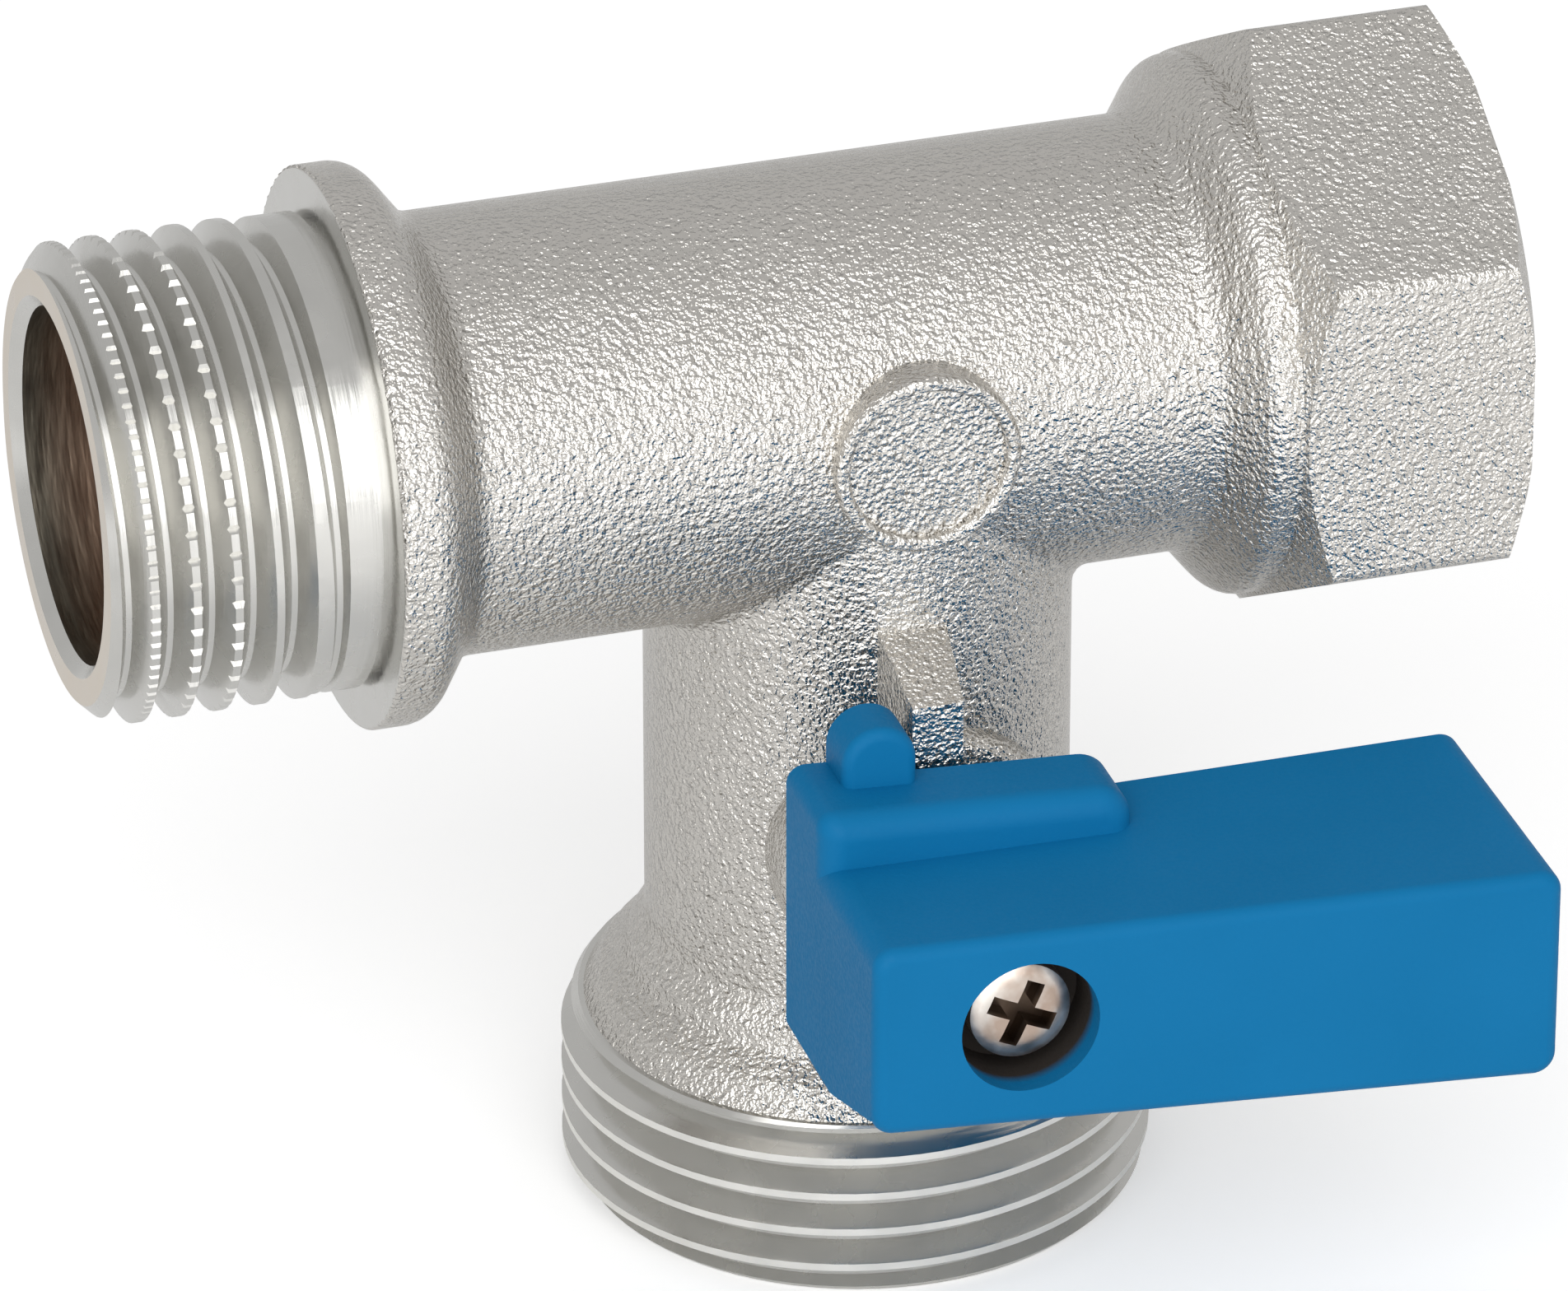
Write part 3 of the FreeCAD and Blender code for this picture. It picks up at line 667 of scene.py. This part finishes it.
def forging_picks(centre, normal):
    """Each face's place in METALS."""
    x, y, z = centre.T
    from_run = np.hypot(y, z)
    from_branch = np.hypot(x, y)
    inwards = (normal[:, 1] * y + normal[:, 2] * z) < 0
    upright = np.abs(normal[:, 2]) < UPRIGHT
    picks = np.full(len(x), METALS.index(BLASTED))
    picks[(x < COLLAR_FACE) & (from_run < INSIDE_COLLAR)] = METALS.index(TURNED_X)
    in_socket = (x > SOCKET_FLOOR) & (from_run < SOCKET_ROOT) & inwards
    picks[(x > SOCKET_FACE) | in_socket] = METALS.index(TURNED_X)
    picks[(z < OUTLET_TOP) & (from_branch > OUTLET_LIP)] = METALS.index(TURNED_Z)
    # Outlet crests take the finish with the painted highlight.
    picks[(z < OUTLET_TOP) & (from_branch > ON_CREST) & upright] = METALS.index(CREST_HIGHLIGHT_Z)
    picks[(from_run < RUN_BORE) & (x > BEHIND_CHAMFER)] = METALS.index(BRASS)
    picks[(x < INLET_LIP) & (normal[:, 0] < -FACING)] = METALS.index(WORN_LIP)
    picks[(from_branch < BRANCH_BORE) & (z < BRANCH_ROOF) & (y > BEHIND_STEM)] = METALS.index(BRASS)
    return picks


shares = paint_faces(forging, METALS, forging_picks)
for finish, share in zip(METALS, shares):
    print(finish.name, share, "faces")

# %% Smooth the forging's shading and set it in place
FORGING_EDGE = 26


def shade(piece, degrees):
    """Smooth shading with sharp edges kept over an angle."""
    piece.data.shade_smooth()
    piece.data.set_sharp_from_angle(angle=math.radians(degrees))


shade(forging, FORGING_EDGE)
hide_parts("valve_body")
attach(forging, "valve")
print("forging rides on valve")

# %% [markdown]
# ## Lever and screw
# The lever is moulded in a matte blue plastic. Its skin has a very fine texture from the mould and a little
# sheen on the rounded edges. The screw is nickel plated with a warm cast. The shade in the counterbore and in
# the screw's cross is painted in as a dark colour.

# %% Painted shade round the stem's axis
STEM_HEIGHT = frame["joints"][0]["pos_m"][2]
SHADE_FADE = 0.6 * MM


def near_stem(tree, place, radius, mouth):
    """Mask for painted shade: 1 within a radius of the stem's axis and behind a mouth, with a soft border."""
    from_stem = add_node(tree, "ShaderNodeVectorMath", operation="SUBTRACT", inputs={1: (0.0, 0.0, STEM_HEIGHT)})
    across = add_node(tree, "ShaderNodeVectorMath", operation="MULTIPLY", inputs={1: (1.0, 0.0, 1.0)})
    distance = add_node(tree, "ShaderNodeVectorMath", operation="LENGTH")
    split = add_node(tree, "ShaderNodeSeparateXYZ")
    both = add_node(tree, "ShaderNodeMath", operation="MULTIPLY")
    inside = remap(tree, distance.outputs["Value"], 1.0, 0.0, radius, radius + SHADE_FADE / 2)
    behind = remap(tree, split.outputs["Y"], 0.0, 1.0, mouth - SHADE_FADE / 2, mouth + SHADE_FADE / 2)
    wire(tree,
         (place, from_stem.inputs[0]),
         (from_stem.outputs[0], across.inputs[0]),
         (across.outputs[0], distance.inputs[0]),
         (place, split.inputs[0]),
         (inside, both.inputs[0]),
         (behind, both.inputs[1]))
    return both.outputs[0]


def over(tree, mask, plain, colour):
    """The plain colour, with another over it where the mask is 1."""
    mixed = add_node(tree, "ShaderNodeMix", data_type="RGBA")
    mixed.inputs["B"].default_value = (*colour, 1.0)
    wire(tree, (mask, mixed.inputs["Factor"]), (plain, mixed.inputs["A"]))
    return mixed.outputs["Result"]


# %% Lever plastic
COUNTERBORE_RADIUS = 3.1 * MM
COUNTERBORE_MOUTH = -23.7 * MM
SKIN_SCALE, SKIN_DEPTH = 5200.0, 0.012 * MM
TINT_SCALE = 130.0


def lever_plastic():
    """Matte moulded plastic with a fine spark-eroded skin and painted shade in the screw's counterbore."""
    finish, tree, shader, place = start_finish("lever_plastic", (0.003, 0.15, 0.345), 0.0, 0.55)
    shader.inputs["Specular IOR Level"].default_value = 0.1
    skin = noise(tree, place, SKIN_SCALE)
    plain = two_tones(tree, noise(tree, place, TINT_SCALE), (0.002, 0.138, 0.32), (0.004, 0.158, 0.365))
    # The near-black over the counterbore's wall is painted shade.
    counterbore_shade = near_stem(tree, place, COUNTERBORE_RADIUS, COUNTERBORE_MOUTH)
    dress_shader(tree, shader, over(tree, counterbore_shade, plain, (0.04, 0.034, 0.03)),
                 remap(tree, skin, 0.44, 0.6, *NOISE_RANGE), bump(tree, skin, SKIN_DEPTH))
    return finish


def dress(node_name, finish):
    """A CAD node that stays as it is gets its finish."""
    mesh = nodes[node_name].data
    mesh.materials.clear()
    mesh.materials.append(finish)


dress("lever_handle", lever_plastic())
print("lever dressed")

# %% Screw nickel
CROSS_RADIUS = 1.6 * MM
CROSS_MOUTH = -23.3 * MM
PLATE_SCALE, PLATE_DEPTH = 700.0, 0.04 * MM


def screw_nickel():
    """Bright nickel with a warm cast and painted shade in the cross."""
    finish, tree, shader, place = start_finish("screw_nickel", (0.74, 0.65, 0.57), 1.0, 0.36)
    cloud = noise(tree, place, PLATE_SCALE, 3.0)
    patches = remap(tree, cloud, 0.0, 1.0, 0.35, 0.65)
    plain = two_tones(tree, patches, (0.58, 0.45, 0.37), (0.88, 0.83, 0.77))
    # The near-black in the cross is painted shade.
    cross_shade = near_stem(tree, place, CROSS_RADIUS, CROSS_MOUTH)
    dress_shader(tree, shader, over(tree, cross_shade, plain, (0.11, 0.08, 0.06)),
                 remap(tree, cloud, 0.3, 0.44, *NOISE_RANGE), bump(tree, cloud, PLATE_DEPTH))
    return finish


# %% [markdown]
# The CAD screw has a plain round on its head. The real one is a low dome that stays bright to its rim, so the
# points on that round are drawn forwards and the cross keeps its depth.

# %% Dome the screw's head
HEAD_RADIUS = 2.25 * MM
HEAD_ROUND = 1.2 * MM
DOME_DROP = 0.3 * MM
ON_ROUND = 0.03 * MM
SCREW_EDGE = 40

screw = merged_copy("handle_screw", "screw")
points = screw.data.vertices
face = min(point.co.y for point in points)
drawn = 0
for point in points:
    out = math.hypot(point.co.x, point.co.z - STEM_HEIGHT) - (HEAD_RADIUS - HEAD_ROUND)
    share = min(max(out / HEAD_ROUND, 0.0), 1.0)
    on_round = face + HEAD_ROUND * (1 - math.sqrt(1 - share ** 2))
    if out > 0 and abs(point.co.y - on_round) < ON_ROUND:
        point.co.y = face + DOME_DROP * share ** 2
        drawn += 1
screw.data.materials.append(screw_nickel())
shade(screw, SCREW_EDGE)
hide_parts("handle_screw")
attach(screw, "lever")
print("screw domed:", drawn, "points of", len(points))

# %% [markdown]
# ## Inside pieces
# Ball, seats, retainer, stem and rings hardly show in the picture, but they do when the part is opened.
# Their CAD shapes are right, so they only need finishes: polished chrome, waxy white PTFE, turned brass
# and black rubber.

# %% Inside finishes
def speckled(name, dark, light, metallic, smooth, rough, scale, depth):
    """A plain finish with cloudy colour, uneven gloss and a slight bump."""
    finish, tree, shader, place = start_finish(name, light, metallic, rough)
    cloud = noise(tree, place, scale, 3.0)
    dress_shader(tree, shader, two_tones(tree, cloud, dark, light),
                 remap(tree, cloud, smooth, rough, *NOISE_RANGE), bump(tree, cloud, depth))
    return finish


CHROME = speckled("ball_chrome", (0.6, 0.61, 0.63), (0.72, 0.73, 0.75), 1.0, 0.06, 0.14, 700.0, 0.004 * MM)
PTFE = speckled("seat_ptfe", (0.78, 0.78, 0.75), (0.86, 0.86, 0.84), 0.0, 0.4, 0.55, 800.0, 0.01 * MM)
PLAIN_BRASS = speckled("plain_brass", (0.6, 0.42, 0.18), (0.74, 0.55, 0.27), 1.0, 0.22, 0.36, 1500.0, 0.01 * MM)
RUBBER = speckled("ring_rubber", (0.012, 0.012, 0.013), (0.03, 0.03, 0.031), 0.0, 0.42, 0.6, 2200.0, 0.01 * MM)
for name, finish in (("ball", CHROME), ("inlet_seat", PTFE), ("outlet_seat", PTFE), ("thrust_washer", PTFE),
                     ("seat_retainer", PLAIN_BRASS), ("stem", PLAIN_BRASS), ("inner_stem_ring", RUBBER),
                     ("outer_stem_ring", RUBBER)):
    dress(name, finish)
    print(name, "in", finish.name)
